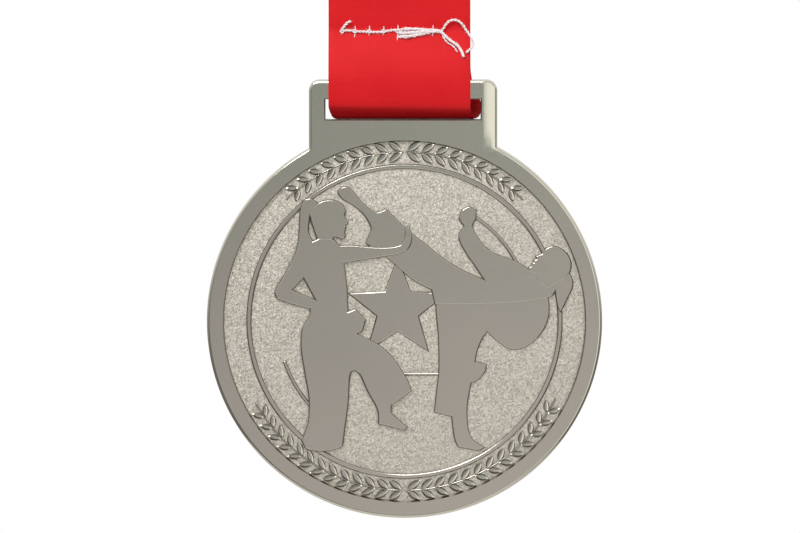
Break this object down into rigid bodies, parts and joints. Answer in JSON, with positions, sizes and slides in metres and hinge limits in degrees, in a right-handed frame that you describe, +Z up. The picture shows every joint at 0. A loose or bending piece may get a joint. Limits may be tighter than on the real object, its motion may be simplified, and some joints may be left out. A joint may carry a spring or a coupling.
{
  "type": "finisher medal on a neck ribbon",
  "caption": "Round cast medal with raised fighting figures, a slotted hanger tab and a folded satin neck ribbon sewn through the slot.",
  "frame": {"origin": "inside top of the ribbon's eye, where a peg or hook carries the medal", "axes": "+Z up along the hanging ribbon, -Y out of the medal's front face, +X to the right seen from the front"},
  "size_m": [0.07, 0.0098, 0.194],
  "materials": {
    "medal_metal": "bright nickel plate, polished raised parts and blasted field",
    "ribbon": "woven polyester satin",
    "thread": "spun sewing thread",
    "band_paper": "uncoated paper"
  },
  "bodies": {
    "root": {"ribbon_strand": "ribbon", "ribbon_hank": "ribbon", "ribbon_eye": "ribbon", "hank_band": "band_paper"},
    "sewn_end": {"ribbon_loop": "ribbon", "tack_thread": "thread", "loose_thread": "thread"},
    "medal": {"medal_body": "medal_metal"}
  },
  "joints": [
    {"name": "ribbon_twist", "type": "hinge", "parent": "root", "child": "sewn_end", "pos_m": [0, 0, -0.096], "axis": [0, 0, 1], "range_deg": [-40, 40]},
    {"name": "medal_swing", "type": "hinge", "parent": "sewn_end", "child": "medal", "pos_m": [0, 0, -0.1169], "axis": [1, 0, 0], "range_deg": [-120, 120]}
  ]
}
